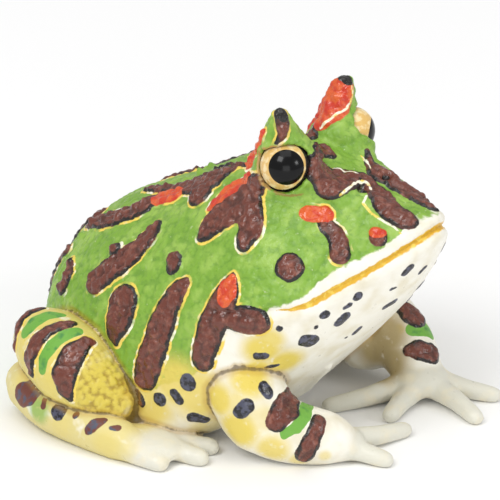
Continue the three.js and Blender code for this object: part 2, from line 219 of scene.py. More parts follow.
# Marks on what the photo hides, as millimetres in the figure's frame: X, Y, Z and the radius
HIDDEN_MARKS = [
    ("rump, inner bar", "bar", "body", True,
     [(-30, -5, 30, 1.6), (-34.5, -5.5, 24, 2.0), (-38, -5.5, 17, 1.6)]),
    ("rump, outer bar", "bar", "body", True, [(-33, -12, 25, 1.5), (-37, -11, 18, 1.9), (-38, -10, 12, 1.3)]),
    ("rump dot", "bar", "body", False, [(-40, 1, 11, 1.4)]),
    ("far horn, outer stripe", "bar", "body", False,
     [(10.3, 12, 58, 1.1), (9.8, 13.2, 55, 1.0), (9.8, 14.2, 52.5, 0.6)]),
    ("far arm, outer patch", "plain bar", "arm_left", False, [(12, 27, 12, 2.0), (13, 27, 8, 1.7)]),
    ("far forearm, outer band", "leaf", "arm_left", False, [(18, 26, 11, 1.0), (17, 26.5, 6, 1.0)]),
]

# Where green gives way to cream, in pixels from the knee along the flank, under the cheek and along the lip
CREAM_EDGE = [
    (118, 372), (133, 386), (150, 392), (165, 384), (182, 380), (196, 374), (209, 362), (213, 340),
    (218, 322), (240, 320), (262, 318), (270, 308), (289, 304), (309, 293), (318, 283), (333, 272),
    (352, 262), (375, 252), (389, 243), (401, 234), (417, 221), (428, 208), (436, 205),
]

# Soft washes: its paint, what it lies on, mirrored or not, then pixels across, pixels down, radius, strength
WASHES = [
    ("yellow", "body", True,
     [(262, 350, 19, 1.0), (285, 362, 19, 1.0), (270, 340, 14, 0.9), (258, 370, 14, 1.0)]),
    ("yellow", "body", True,
     [(200, 396, 32, 0.9), (176, 384, 28, 0.9), (150, 405, 26, 0.9), (224, 396, 24, 1.0),
      (212, 425, 22, 0.6)]),
    ("yellow", "arm_right", False,
     [(250, 378, 20, 1.0), (218, 400, 18, 1.0), (238, 430, 22, 1.0), (236, 404, 14, 0.7), (262, 418, 14, 0.5),
      (272, 450, 17, 0.9), (298, 460, 10, 0.7), (325, 456, 6, 0.6)]),
    ("yellow", "arm_left", False, [(399, 329, 5, 0.9)]),
    ("olive", "leg_right", True, [(104, 388, 34, 1.0), (92, 360, 20, 0.8)]),
    ("yellow", "leg_right", True, [(45, 345, 34, 0.4)]),
    ("yellow", "foot_right", True,
     [(24, 380, 10, 0.4), (60, 425, 14, 0.3), (105, 445, 14, 0.35), (130, 450, 8, 0.3)]),
    ("green tint", "foot_right", True, [(38, 410, 13, 0.7)]),
    # painted shade: tan on the inner side of the far arm
    ("tan shade", "arm_left", False,
     [(385, 335, 24, 1.0), (390, 362, 22, 1.0), (376, 325, 22, 1.0), (378, 350, 22, 1.0),
      (384, 375, 14, 0.8)]),
]

# Lumps on the skyline of the back, in pixels with a radius in pixels and a height in millimetres
WARTS = [
    (201, 173, 4, 1.0), (199, 197, 3.5, 0.6), (94, 224, 4, 0.7), (106, 220, 4.5, 0.8), (121, 216, 4.5, 0.7),
    (136, 210, 4.5, 0.8), (147, 203, 4, 0.7), (116, 249, 6, 0.5), (82, 236, 4, 0.6), (186, 180, 4, 0.6),
    (213, 177, 4, 0.5), (226, 173, 3, 0.4), (168, 187, 3, 0.5), (72, 262, 3.5, 0.5), (68, 275, 3.5, 0.6),
    (61, 287, 4, 0.6),
]

# Single places, in pixels
NOSTRIL = (362.5, 192)
MOUTH_CORNER = (268, 308)
CHEST_FOLD = [(296, 399), (306, 388), (317, 377), (328, 366)]
KNEE = (104, 386)
TOES_FROM = (128, 450)

# The relief: how high each kind stands, and for the lumps how far apart they are and the seed of their places
HEIGHTS = {
    "green lumps": 0.26,
    "green swells": 0.12,
    "bar": 0.3,
    "bar lumps": 0.5,
    "all over": 0.03,
    "crease": 0.45,
    "knee lumps": 0.36,
    "spot": 0.22,
    "chest fold": 0.7,
    "lid": 0.35,
}
LUMPS = {"green": (1.3, 21), "knee": (1.05, 31), "bar": (1.4, 23)}
BARS_ON_LIMBS = 0.6  # the share of a bar's height that it has off the body
KNEE_REACH = 9.0

# Paint colours, as 0 to 255 of red, green and blue
GREEN = (126, 170, 56)
GREEN_LIGHT = (152, 189, 80)
# also the painted shade between the green skin's lumps
GREEN_DARK = (96, 142, 46)
LEAF = (112, 172, 64)
LEAF_DARK = (48, 122, 66)
CREAM = (245, 242, 230)
CREAM_SHADE = (230, 223, 200)
LEG_YELLOW = (222, 205, 114)
FOOT_CREAM = (222, 208, 140)
WASH_YELLOW = (228, 206, 96)
OLIVE = (214, 194, 76)
# painted shade between the knees' lumps
OLIVE_HOLLOW_SHADE = (168, 142, 48)
PALE = (222, 220, 206)
# painted shade for the far arm's inner side
TAN_SHADE = (178, 160, 116)
BROWN = (110, 59, 47)
BROWN_LIGHT = (140, 86, 71)
EDGE_BLACK = (34, 31, 29)
OUTLINE_YELLOW = (242, 212, 92)
OUTLINE_CREAM = (252, 248, 226)
RED = (204, 58, 38)
ORANGE = (222, 98, 48)
RUST = (150, 84, 44)
SPOT = (78, 80, 98)
SPOT_DARK = (34, 33, 38)
MOUTH_YELLOW = (224, 176, 46)
# a dark brown wash in the creases, which is also painted shade there
CREASE_LINE_AND_SHADE = (72, 52, 22)
CREASE_WASH_AND_SHADE = (196, 154, 62)
LID_GOLD = (196, 158, 92)
IRIS_GOLD = (226, 186, 112)
IRIS_LIGHT = (244, 222, 172)
PUPIL = (10, 10, 11)
FLOOR = (250, 250, 250)

# The eye's painted pupil and ring: how far each leans aside and down from the camera's line, and how many
# degrees from its middle its edge is
PUPIL_LEAN = {"eye_right": (0.05, 0.10), "eye_left": (0.56, 0.68)}
PUPIL_EDGE = 45.0
RING_LEAN = (-0.36, -0.04)
RING_EDGE = {"eye_right": 74.0, "eye_left": 105.0}

# The stage, in metres. A lamp has degrees across and up from the camera's side, its size and its watts.
FLOOR_HALF = 3.0
LAMP_DISTANCE = 1.8
LAMPS = {
    "key": (-35, 50, 0.7, 11.0),
    "side": (60, 25, 0.4, 4.6),
    "top": (10, 85, 1.4, 9.0),
    "low fill": (5, 6, 1.0, 5.0),
}
WORLD_LIGHT = 0.55


def smooth(value, low, high):
    """0 below low, 1 above high, and an easy curve between."""
    t = np.clip((value - low) / (high - low), 0, 1)
    return t * t * (3 - 2 * t)


def bell(value, width):
    return np.exp(-((value / width) ** 2))


def unit(vectors):
    return vectors / np.maximum(np.linalg.norm(vectors, axis=-1, keepdims=True), 1e-12)


def mirrored(points):
    return points * np.array([1, -1, 1])


def away_from(points, place):
    return np.linalg.norm(points - place, axis=1)


def away_from_pair(points, place):
    """How far each point is from a place or from its mirror image, whichever is nearer."""
    return np.minimum(away_from(points, place), away_from(points, mirrored(place)))


def other_side(name):
    if name.endswith("_right"):
        return name.replace("_right", "_left")
    return name


# The camera's geometry
def view_axes():
    """The directions from the target back to the camera, to its right and up."""
    a, e = math.radians(AZIMUTH), math.radians(ELEVATION)
    back = np.array([math.sin(a) * math.cos(e), -math.cos(a) * math.cos(e), math.sin(e)])
    right = np.array([math.cos(a), math.sin(a), 0.0])
    return back, right, np.cross(back, right)


def eye_shape(name):
    """An eyeball's middle and radius."""
    low, high = (np.array(corner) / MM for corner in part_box(name))
    return (low + high) / 2, (high - low).mean() / 2


def target_point():
    middle, _ = eye_shape("eye_right")
    return np.array([middle[0] - EYES_AHEAD_OF_TARGET, 0.0, TARGET_HEIGHT])


def camera_point():
    return target_point() + view_axes()[0] * DISTANCE


def sight(across, down):
    """The direction of a pixel of the photograph from the camera."""
    back, right, up = view_axes()
    middle = PHOTO_SIDE * (0.5 - SHIFT[0]), PHOTO_SIDE * (0.5 + SHIFT[1])
    reach = PIXELS_PER_MM * DISTANCE
    return unit(-back + right * (across - middle[0]) / reach - up * (down - middle[1]) / reach)


def add_camera():
    data = bpy.data.cameras.new("camera")
    data.lens, data.sensor_width = LENS, SENSOR
    data.shift_x, data.shift_y = SHIFT
    camera = bpy.data.objects.new("camera", data)
    camera.location = camera_point() * MM
    camera.rotation_euler = Vector(-view_axes()[0]).to_track_quat("-Z", "Y").to_euler()
    bpy.context.scene.collection.objects.link(camera)
    bpy.context.scene.camera = camera


# Noise with fixed seeds
def lattice(cells, seed):
    """A fixed random number between -1 and 1 for each whole-numbered cell."""
    x, y, z = (cells[..., axis].astype(np.int64) for axis in range(3))
    mixed = (x * 73856093) ^ (y * 19349663) ^ (z * 83492791) ^ (seed * 2654435761)
    mixed = (mixed ^ (mixed >> 13)) * 1274126177
    return ((mixed ^ (mixed >> 16)) & 0xFFFF) / 0x7FFF - 1.0


def ripple(points, size, seed):
    """Smooth noise between -1 and 1, with features about size wide."""
    grid = points / size
    cell = np.floor(grid)
    t = smooth(grid - cell, 0, 1)
    total = np.zeros(len(points))
    for corner in np.ndindex(2, 2, 2):
        weight = np.where(np.array(corner) == 1, t, 1 - t).prod(axis=1)
        total += weight * lattice(cell + corner, seed)
    return total


def pebbles(points, size, seed):
    """Rounded lumps about size apart: 1 on top of each and 0 between them."""
    grid = points / size
    cell = np.floor(grid)
    nearest = np.full(len(points), 9.0)
    for step in np.ndindex(3, 3, 3):
        other = cell + np.array(step) - 1
        offset = np.stack([lattice(other, seed + axis) for axis in range(3)], axis=1)
        middle = other + 0.5 + 0.38 * offset
        nearest = np.minimum(nearest, ((grid - middle) ** 2).sum(axis=1))
    return np.clip(1 - nearest / 0.55, 0, 1)


# Meshes as arrays
def node_arrays(name):
    """A solid's corners, each once, and its triangles."""
    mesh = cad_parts[name].data
    co = np.zeros(len(mesh.vertices) * 3)
    mesh.vertices.foreach_get("co", co)
    mesh.calc_loop_triangles()
    corners = np.zeros(len(mesh.loop_triangles) * 3, int)
    mesh.loop_triangles.foreach_get("vertices", corners)
    points, same = np.unique(np.round(co.reshape(-1, 3) / MM, 4), axis=0, return_inverse=True)
    return points, same.reshape(-1)[corners].reshape(-1, 3)


def normals_of(points, faces):
    """Outward directions at the corners. A face has three or four corners."""
    flat = np.cross(points[faces[:, 1]] - points[faces[:, 0]], points[faces[:, 2]] - points[faces[:, 0]])
    total = np.zeros_like(points)
    for corner in range(faces.shape[1]):
        for axis in range(3):
            total[:, axis] += np.bincount(faces[:, corner], flat[:, axis], len(points))
    return unit(total)


def new_mesh(name, points, faces):
    mesh = bpy.data.meshes.new(name)
    mesh.from_pydata(np.asarray(points).tolist(), [], [list(face) for face in faces])
    mesh.update()
    return mesh


def edges_of(faces):
    pairs = np.concatenate([faces[:, [i, (i + 1) % faces.shape[1]]] for i in range(faces.shape[1])])
    return np.unique(np.sort(pairs, axis=1), axis=0)


def largest_piece(points, faces):
    """Drops all but the piece with the most corners."""
    edges = edges_of(faces)
    label = np.arange(len(points))
    while True:
        low = np.minimum(label[edges[:, 0]], label[edges[:, 1]])
        lower = label.copy()
        np.minimum.at(lower, edges[:, 0], low)
        np.minimum.at(lower, edges[:, 1], low)
        lower = lower[lower]
        if (lower == label).all():
            break
        label = lower
    keep = label == np.bincount(label).argmax()
    renumber = np.cumsum(keep) - 1
    return points[keep], renumber[faces[keep[faces[:, 0]]]]


class Neighbours:
    """Each corner's neighbours, for averages over them."""

    def __init__(self, count, edges):
        both = np.concatenate([edges, edges[:, ::-1]])
        both = both[np.argsort(both[:, 0], kind="stable")]
        self.count = np.bincount(both[:, 0], minlength=count)
        first = np.cumsum(self.count) - self.count
        place = np.arange(len(both)) - first[both[:, 0]]
        self.table = np.full((count, self.count.max()), count)
        self.table[both[:, 0], place] = both[:, 1]

    def mean(self, values):
        padded = np.concatenate([values, np.zeros_like(values[:1])])
        total = sum(padded[self.table[:, k]] for k in range(self.table.shape[1]))
        return total / np.maximum(self.count, 1).reshape(-1, *[1] * (values.ndim - 1))


def relax(values, neighbours, steps):
    """Smooths values, each corner for its own number of steps."""
    for step in range(int(np.ceil(steps.max()))):
        share = SMOOTH_SHARE * np.clip(steps - step, 0, 1)
        share = share.reshape(-1, *[1] * (values.ndim - 1))
        values = values + share * (neighbours.mean(values) - values)
    return values


# The skin's plain shape
def flesh_nodes():
    return sorted(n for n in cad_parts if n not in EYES)


def fused_solids(names):
    """One closed mesh round all the solids, in small even faces."""
    shells, corners, count = [], [], 0
    for name in names:
        points, faces = node_arrays(name)
        shells.append(points + GAP_FILL * normals_of(points, faces))
        corners.append(faces + count)
        count += len(points)
    obj = bpy.data.objects.new("fused", new_mesh("fused", np.concatenate(shells), np.concatenate(corners)))
    bpy.context.scene.collection.objects.link(obj)
    remesh = obj.modifiers.new("even", "REMESH")
    remesh.mode, remesh.voxel_size, remesh.adaptivity = "VOXEL", VOXEL, 0.0
    made = obj.evaluated_get(bpy.context.evaluated_depsgraph_get()).to_mesh()
    points = np.zeros(len(made.vertices) * 3)
    made.vertices.foreach_get("co", points)
    faces = np.zeros(len(made.loops), int)
    made.loops.foreach_get("vertex_index", faces)
    bpy.data.objects.remove(obj)
    return largest_piece(points.reshape(-1, 3), faces.reshape(-1, 4))


def distance_to_nodes(points, names):
    """How far each point is from each solid, up to FAR, as one column a solid."""
    table = np.full((len(points), len(names)), FAR)
    for column, name in enumerate(names):
        corners, faces = node_arrays(name)
        tree = BVHTree.FromPolygons(corners.tolist(), faces.tolist())
        near = ((points > corners.min(0) - FAR) & (points < corners.max(0) + FAR)).all(1)
        for i in np.flatnonzero(near):
            found = tree.find_nearest(points[i], FAR)
            if found[3] is not None:
                table[i, column] = found[3]
    return table


def smoothing_steps(names, label, crease):
    """How much each corner is smoothed: long on the trunk, little on digits and next to a crease."""
    kinds = []
    for name in names:
        part = name.rsplit("_", 1)[0]
        if part in ("hand", "foot"):
            kinds.append("digit")
        elif part == "horn":
            kinds.append("horn")
        elif name in GROUPS["body"]:
            kinds.append("body")
        else:
            kinds.append("limb")
    steps = np.array([float(SMOOTH_STEPS[k]) for k in kinds])[label]
    return np.maximum(SMOOTH_STEPS["digit"], steps * smooth(crease, -0.5, 2.5))


class Skin:
    """The skin's corners and faces, what part of the body each corner belongs to, and its painted fields."""

    def __init__(self):
        self.names = flesh_nodes()
        self.points, self.faces = fused_solids(self.names)
        self.away = distance_to_nodes(self.points, self.names)
        self.label = self.away.argmin(1)
        self.neighbours = Neighbours(len(self.points), edges_of(self.faces))
        self.crease = self.seams(self.crease_pairs())
        self.mouth = self.seams([("head", "lower_jaw")])
        steps = smoothing_steps(self.names, self.label, self.crease)
        steps = relax(steps, self.neighbours, np.full(len(steps), 5.0))
        self.crease = relax(self.crease, self.neighbours, np.full(len(steps), 3.0))
        self.points = relax(self.points, self.neighbours, steps)
        self.normals = normals_of(self.points, self.faces)
        self.groups = {name: self.among(nodes) for name, nodes in GROUPS.items()}
        self.trees = {name: self.tree_of(mask) for name, mask in self.groups.items()}
        self.lumps = {kind: pebbles(self.points, size, seed) for kind, (size, seed) in LUMPS.items()}
        self.fields = {}

    def column(self, name):
        return self.away[:, self.names.index(name)]

    def among(self, nodes):
        return np.isin(self.label, [self.names.index(n) for n in nodes])

    def crease_pairs(self):
        pairs = []
        for side in ("right", "left"):
            for limb in ("upper_arm", "forearm", "thigh", "shank", "foot"):
                pairs += [(body, f"{limb}_{side}") for body in ("torso", "head", "lower_jaw")]
            pairs += [(f"thigh_{side}", f"shank_{side}"), (f"shank_{side}", f"foot_{side}")]
            pairs += [(f"thigh_{side}", f"foot_{side}")]
        return pairs

    def seams(self, pairs):
        """How far each corner is from the nearest line where two of these solids meet."""
        found = np.full(len(self.points), FAR)
        for one, other in pairs:
            a, b = self.column(one), self.column(other)
            both = (a < FAR) & (b < FAR) & (np.minimum(a, b) < AT_A_SEAM)
            found[both] = np.minimum(found[both], np.abs(a - b)[both])
        return found

    def tree_of(self, mask):
        chosen = self.faces[mask[self.faces].any(axis=1)]
        return BVHTree.FromPolygons(self.points.tolist(), chosen.tolist())

    def seen(self, group, across, down):
        """The point of a group of parts that lies behind a pixel, or that is nearest to its line of sight."""
        tree, start, line = self.trees[group], camera_point(), sight(across, down)
        hit = tree.ray_cast(Vector(start), Vector(line))[0]
        if hit is not None:
            return np.array(hit)
        depths = np.arange(DISTANCE - SEARCH_REACH, DISTANCE + SEARCH_REACH, SEARCH_STEP)
        tries = [tree.find_nearest(Vector(start + line * depth)) for depth in depths]
        return np.array(min(tries, key=lambda found: found[3])[0])

    def field(self, name):
        if name not in self.fields:
            self.fields[name] = np.full(len(self.points), FAR)
        return self.fields[name]

    def lay(self, paint, group, stops):
        """Takes the signed distance from a chain of points with radii into a paint's field."""
        field, mask = self.field(paint), self.groups[group]
        for (a, r), (b, s) in zip(stops[:-1] or stops, stops[1:] or stops):
            reach = max(r, s) + FAR
            low, high = np.minimum(a, b) - reach, np.maximum(a, b) + reach
            near = mask & (self.points > low).all(1) & (self.points < high).all(1)
            at, along = self.points[near] - a, b - a
            t = np.clip(at @ along / max(along @ along, 1e-9), 0, 1)
            gap = np.linalg.norm(at - t[:, None] * along, axis=1) - (r + (s - r) * t)
            field[near] = np.minimum(field[near], gap)


# Marks
def filled_route(route, step):
    """The route with points added, so that it follows the surface: no two are further apart than step."""
    full = [np.array(route[0], float)]
    for stop in route[1:]:
        stop = np.array(stop, float)
        parts = max(1, math.ceil(np.linalg.norm(stop[:2] - full[-1][:2]) / step))
        start = full[-1]
        full += [start + (stop - start) * (k + 1) / parts for k in range(parts)]
    return full


def width_on(skin, group, stop, aside, stretch):
    """Half the width on the skin of what has the stop's radius in the photo."""
    ends = [skin.seen(group, *(stop[:2] + sign * stop[2] * aside)) for sign in (-1, 1)]
    plain = stop[2] / PIXELS_PER_MM
    return float(np.clip(np.linalg.norm(ends[1] - ends[0]) / 2, MARK_SHRINK * plain, stretch * plain))


def cast_route(skin, paint, group, route):
    """A route in pixels as points on the skin, each with its radius in millimetres."""
    stretch = SPOT_STRETCH if paint in ("spot", "rim", "black") else MARK_STRETCH
    stops = filled_route(route, ROUTE_STEP)
    cast = []
    for i, stop in enumerate(stops):
        before, after = stops[max(0, i - 1)], stops[min(len(stops) - 1, i + 1)]
        ahead = (after - before)[:2]
        if np.linalg.norm(ahead) > 0:
            asides = [unit(np.array([-ahead[1], ahead[0]]))]
        else:
            asides = [np.array([1.0, 0.0]), np.array([0.0, 1.0])]
        radius = min(width_on(skin, group, stop, aside, stretch) for aside in asides)
        cast.append((skin.seen(group, *stop[:2]), radius))
    return cast


def snapped_route(skin, group, route):
    """A route in millimetres, with points added, each moved to the nearest skin."""
    full = filled_route(route, HIDDEN_ROUTE_STEP)
    return [(np.array(skin.trees[group].find_nearest(Vector(stop[:3]))[0]), stop[3]) for stop in full]


def lay_marks(skin):
    """Lays every mark, and most of them again on the left side, a little moved and resized."""
    routes = []
    for _, paint, group, again, route in MARKS:
        routes.append((paint, group, again, cast_route(skin, paint, group, route)))
    for _, paint, group, again, route in HIDDEN_MARKS:
        routes.append((paint, group, again, snapped_route(skin, group, route)))
    dice = random.Random(7)
    for paint, group, again, stops in routes:
        size = dice.uniform(*MIRRORED_SIZES)
        along = dice.uniform(-MIRRORED_SHIFT["x"], MIRRORED_SHIFT["x"])
        up = dice.uniform(-MIRRORED_SHIFT["z"], MIRRORED_SHIFT["z"])
        nudge = np.array([along, 0.0, up])
        for field in LAID_IN.get(paint, (paint,)):
            skin.lay(field, group, stops)
            if again:
                skin.lay(field, other_side(group), [(mirrored(p) + nudge, r * size) for p, r in stops])


def lay_washes(skin):
    """Lays every wash as soft round blobs: full within half its radius, and none beyond one and a half."""
    for paint, group, again, blobs in WASHES:
        for across, down, radius, strength in blobs:
            middle = skin.seen(group, across, down)
            reach = radius / PIXELS_PER_MM
            for sign in (1, -1) if again else (1,):
                place = middle if sign > 0 else mirrored(middle)
                mask = skin.groups[group if sign > 0 else other_side(group)]
                amount = strength * smooth(-away_from(skin.points, place), -1.5 * reach, -0.5 * reach)
                field = skin.fields.setdefault(paint, np.zeros(len(skin.points)))
                field[mask] = np.maximum(field, amount)[mask]


def cream_below(skin):
    """How far each corner of the trunk and head is below the line where green gives way to cream."""
    edge = np.array([skin.seen("body", *pixel) for pixel in CREAM_EDGE])
    edge = edge[np.argsort(edge[:, 0])]
    return np.interp(skin.points[:, 0], edge[:, 0], edge[:, 2]) - skin.points[:, 2]


def paint_fields(skin):
    """Every field that the paint and the relief read, by name."""
    lay_marks(skin)
    lay_washes(skin)
    wobble = 0.22 * ripple(skin.points, 2.2, 11) + 0.12 * ripple(skin.points, 1.0, 12)
    for field in ("bar", "red", "spot", "dot", "leaf", "outlined"):
        skin.fields[field] = np.clip(skin.fields[field] + wobble, -FAR, FAR)
    body = skin.groups["body"]
    legs = skin.groups["leg_right"] | skin.groups["leg_left"]
    feet = skin.groups["foot_right"] | skin.groups["foot_left"]
    skin.fields["cream"] = np.where(body, np.clip(cream_below(skin), -FAR, FAR), FAR)
    skin.fields["limb"] = np.where(legs, 1.0, 0.0)
    skin.fields["foot"] = np.where(feet, 1.0, 0.0)
    hands = skin.among([n for n in skin.names if n.startswith("hand")]).astype(float)
    hands = relax(hands, skin.neighbours, np.full(len(hands), 12.0))
    toes = skin.points[:, 0] - skin.seen("foot_right", *TOES_FROM)[0]
    skin.fields["pale"] = np.maximum(hands, feet * smooth(toes, -2.0, 2.0))
    # painted shade, darkest between the lumps of the green skin, the knees and the bars
    skin.fields["hollow_shade"] = painted_hollow_shade(skin)
    skin.fields["lumpy"] = np.maximum(green_share(skin), bar_share(skin))
    skin.fields["crease"] = skin.crease
    along = skin.points[:, 0] - skin.seen("body", *MOUTH_CORNER)[0]
    skin.fields["mouth"] = np.where(along > 0, skin.mouth + 0.7 * bell(along, 3.5), FAR)
    nostril = skin.seen("body", *NOSTRIL)
    skin.fields["nostril"] = away_from_pair(skin.points, nostril).clip(0, FAR)
    eyes = [eye_shape(name) for name in EYES]
    gaps = [away_from(skin.points, middle) - radius for middle, radius in eyes]
    skin.fields["lid"] = np.minimum(*gaps).clip(-FAR, FAR)
    left_eye, _ = eyes[-1]
    skin.fields["behind eye"] = smooth(left_eye[0] - skin.points[:, 0], -1.5, 0.5)


# The skin's relief
def green_share(skin):
    """1 on green skin and 0 off it."""
    return np.where(skin.groups["body"], smooth(-skin.fields["cream"], -0.3, 1.0), 0.0)


def bar_share(skin):
    """1 on brown and red marks and 0 off them."""
    return smooth(-np.minimum(skin.fields["bar"], skin.fields["red"]), -0.25, 0.6)


def painted_hollow_shade(skin):
    """Painted shade in the hollows: 1 deep between the lumps and 0 on top of them."""
    low_green = 0.5 * green_share(skin) * smooth(-skin.lumps["green"], -0.35, 0.0)
    low_knee = knee_share(skin) * smooth(-skin.lumps["knee"], -0.6, -0.05)
    inside = bar_share(skin)
    low_bar = smooth(-skin.lumps["bar"], -0.5, -0.05)
    return np.maximum(low_green, low_knee) * (1 - inside) + low_bar * inside


def relief(skin):
    """How far each corner rises along its normal."""
    points, field, lumps = skin.points, skin.fields, skin.lumps
    inside = bar_share(skin)
    bar_scale = np.where(skin.groups["body"], 1.0, BARS_ON_LIMBS)
    rise = HEIGHTS["green lumps"] * green_share(skin) * (lumps["green"] - 0.5) * (1 - inside)
    rise += HEIGHTS["green swells"] * green_share(skin) * ripple(points, 3.5, 22)
    rise += inside * (HEIGHTS["bar"] + HEIGHTS["bar lumps"] * lumps["bar"]) * bar_scale
    rise += HEIGHTS["all over"] * ripple(points, 1.3, 25)
    rise -= HEIGHTS["crease"] * bell(skin.crease, 0.7)
    rise += lip_relief(skin) + nostril_relief(field["nostril"]) + lid_relief(field["lid"])
    rise += wart_relief(skin) + HEIGHTS["knee lumps"] * knee_share(skin) * lumps["knee"] + fold_relief(skin)
    rise += HEIGHTS["spot"] * smooth(-field["spot"], -0.3, 0.5)
    return rise


def lip_relief(skin):
    """Two lips with a groove between them, fuller at the tip of the snout."""
    tip = skin.points[:, 0].max()
    front = smooth(skin.points[:, 0], tip - 9.0, tip - 3.0)
    return (0.25 + 0.35 * front) * bell(skin.mouth - 1.6, 1.0) - (0.4 + 0.3 * front) * bell(skin.mouth, 0.5)


def nostril_relief(away):
    """A dent with a low rim."""
    return 0.3 * bell(away - 1.35, 0.5) - 0.9 * bell(away, 0.75)


def lid_relief(gap):
    """A low rim round each eye."""
    return HEIGHTS["lid"] * bell(gap - 0.7, 0.45)


def wart_relief(skin):
    rise = np.zeros(len(skin.points))
    for across, down, radius, height in WARTS:
        place = skin.seen("body", across, down)
        for spot in (place, mirrored(place)):
            rise += height * bell(away_from(skin.points, spot), radius / PIXELS_PER_MM)
    return rise


def knee_share(skin):
    """1 on the knees, where the skin is finely lumped, and 0 away from them and on the bars."""
    away = away_from_pair(skin.points, skin.seen("leg_right", *KNEE))
    where = skin.groups["leg_right"] | skin.groups["leg_left"]
    plain = smooth(skin.fields["bar"], -0.2, 0.4)
    return smooth(-away, -KNEE_REACH, -0.6 * KNEE_REACH) * where * plain


def fold_relief(skin):
    """The thin fold of skin from the chest to the elbow."""
    chain = [skin.seen("body", *pixel) for pixel in CHEST_FOLD]
    away = np.full(len(skin.points), FAR)
    for a, b in zip(chain[:-1], chain[1:]):
        along = b - a
        t = np.clip((skin.points - a) @ along / (along @ along), 0, 1)
        away = np.minimum(away, np.linalg.norm(skin.points - a - t[:, None] * along, axis=1))
    return HEIGHTS["chest fold"] * bell(away, 0.8) * skin.groups["body"]


# Materials
def linear(colour):
    """A colour of 0 to 255 as the linear one that a shader takes."""
    parts = [c / 255 for c in colour]
    return (*[p / 12.92 if p <= 0.04045 else ((p + 0.055) / 1.055) ** 2.4 for p in parts], 1.0)


class Paint:
    """A material's nodes, laid coat over coat."""

    def __init__(self, name):
        self.material = bpy.data.materials.new(name)
        self.material.use_nodes = True
        self.tree = self.material.node_tree
        self.shader = self.tree.nodes["Principled BSDF"]
        self.place = self.add("ShaderNodeTexCoord").outputs["Object"]

    def add(self, kind, **settings):
        node = self.tree.nodes.new(kind)
        for key, value in settings.items():
            setattr(node, key, value)
        return node

    def feed(self, socket, value):
        if isinstance(value, bpy.types.NodeSocket):
            self.tree.links.new(value, socket)
        else:
            socket.default_value = value

    def field(self, name):
        return self.add("ShaderNodeAttribute", attribute_name=name).outputs["Fac"]

    def noise(self, size, detail=2.0):
        """Noise about 0.5, with features about size millimetres wide."""
        node = self.add("ShaderNodeTexNoise")
        self.feed(node.inputs["Vector"], self.place)
        node.inputs["Scale"].default_value = 1 / (size * MM)
        node.inputs["Detail"].default_value = detail
        return node.outputs["Fac"]

    def math(self, operation, a, b=0.0):
        node = self.add("ShaderNodeMath", operation=operation)
        self.feed(node.inputs[0], a)
        self.feed(node.inputs[1], b)
        return node.outputs[0]

    def ragged(self, value, size, amount):
        """A value whose level lines wander by amount."""
        wander = self.math("MULTIPLY", self.math("SUBTRACT", self.noise(size), 0.5), 2 * amount)
        return self.math("ADD", value, wander)

    def step(self, value, low, high):
        """0 below low and 1 above high. With low above high it falls instead."""
        node = self.add("ShaderNodeMapRange", interpolation_type="SMOOTHSTEP")
        self.feed(node.inputs["Value"], value)
        falls = low > high
        ends = (high, low) if falls else (low, high)
        node.inputs["From Min"].default_value, node.inputs["From Max"].default_value = ends
        node.inputs["To Min"].default_value = 1.0 if falls else 0.0
        node.inputs["To Max"].default_value = 0.0 if falls else 1.0
        return node.outputs["Result"]

    def times(self, *values):
        total = values[0]
        for value in values[1:]:
            total = self.math("MULTIPLY", total, value)
        return total

    def coat(self, under, colour, amount):
        node = self.add("ShaderNodeMix", data_type="RGBA")
        self.feed(node.inputs["Factor"], amount)
        self.feed(node.inputs["A"], under if isinstance(under, bpy.types.NodeSocket) else linear(under))
        self.feed(node.inputs["B"], colour if isinstance(colour, bpy.types.NodeSocket) else linear(colour))
        return node.outputs["Result"]


def ground_coats(p):
    """Green above, cream below and on the arms, yellow legs, cream-yellow feet, pale hands and toes, with
    painted shade between the lumps and on the inner side of the far arm.
    """
    hollow_shade = p.field("hollow_shade")
    green = p.coat(GREEN, GREEN_LIGHT, p.step(p.noise(3.6), 0.42, 0.66))
    green = p.coat(green, GREEN_DARK, p.times(p.step(p.noise(1.5), 0.56, 0.74), 0.5))
    # painted shade: the green darkens between its lumps
    green = p.coat(green, GREEN_DARK, hollow_shade)
    green = p.coat(green, OUTLINE_CREAM, p.times(p.step(p.noise(0.8), 0.68, 0.8), 0.35))
    cream = p.coat(CREAM, CREAM_SHADE, p.step(p.noise(4.5), 0.4, 0.75))
    limb = p.coat(LEG_YELLOW, CREAM, p.step(p.noise(3.0), 0.56, 0.8))
    foot = p.coat(FOOT_CREAM, CREAM, p.step(p.noise(3.2), 0.58, 0.8))
    pale = p.coat(PALE, CREAM_SHADE, p.step(p.noise(3.4), 0.45, 0.75))
    coat = p.coat(green, cream, p.step(p.ragged(p.field("cream"), 1.2, 0.7), -0.3, 0.3))
    coat = p.coat(coat, limb, p.field("limb"))
    coat = p.coat(coat, foot, p.field("foot"))
    coat = p.coat(coat, pale, p.field("pale"))
    # the tan wash is painted shade on the far arm's inner side
    for wash, colour in (("yellow", WASH_YELLOW), ("green tint", LEAF), ("tan shade", TAN_SHADE)):
        coat = p.coat(coat, colour, p.times(p.field(wash), p.step(p.noise(1.4), 0.1, 0.42)))
    # painted shade: the olive darkens between the knees' lumps
    olive = p.coat(OLIVE, OLIVE_HOLLOW_SHADE, hollow_shade)
    return p.coat(coat, olive, p.times(p.field("olive"), p.step(p.noise(1.6), 0.1, 0.45)))


def outline_coat(p, coat, edge):
    """A hand-drawn yellow and cream line round the bars, broken here and there."""
    width = p.ragged(edge, 0.7, 0.2)
    line = p.times(p.step(width, -0.1, 0.0), p.step(width, 0.52, 0.36))
    present = p.step(p.noise(5.5), 0.38, 0.5)
    colour = p.coat(OUTLINE_YELLOW, OUTLINE_CREAM, p.step(p.noise(2.4), 0.5, 0.66))
    return p.coat(coat, colour, p.times(line, present))


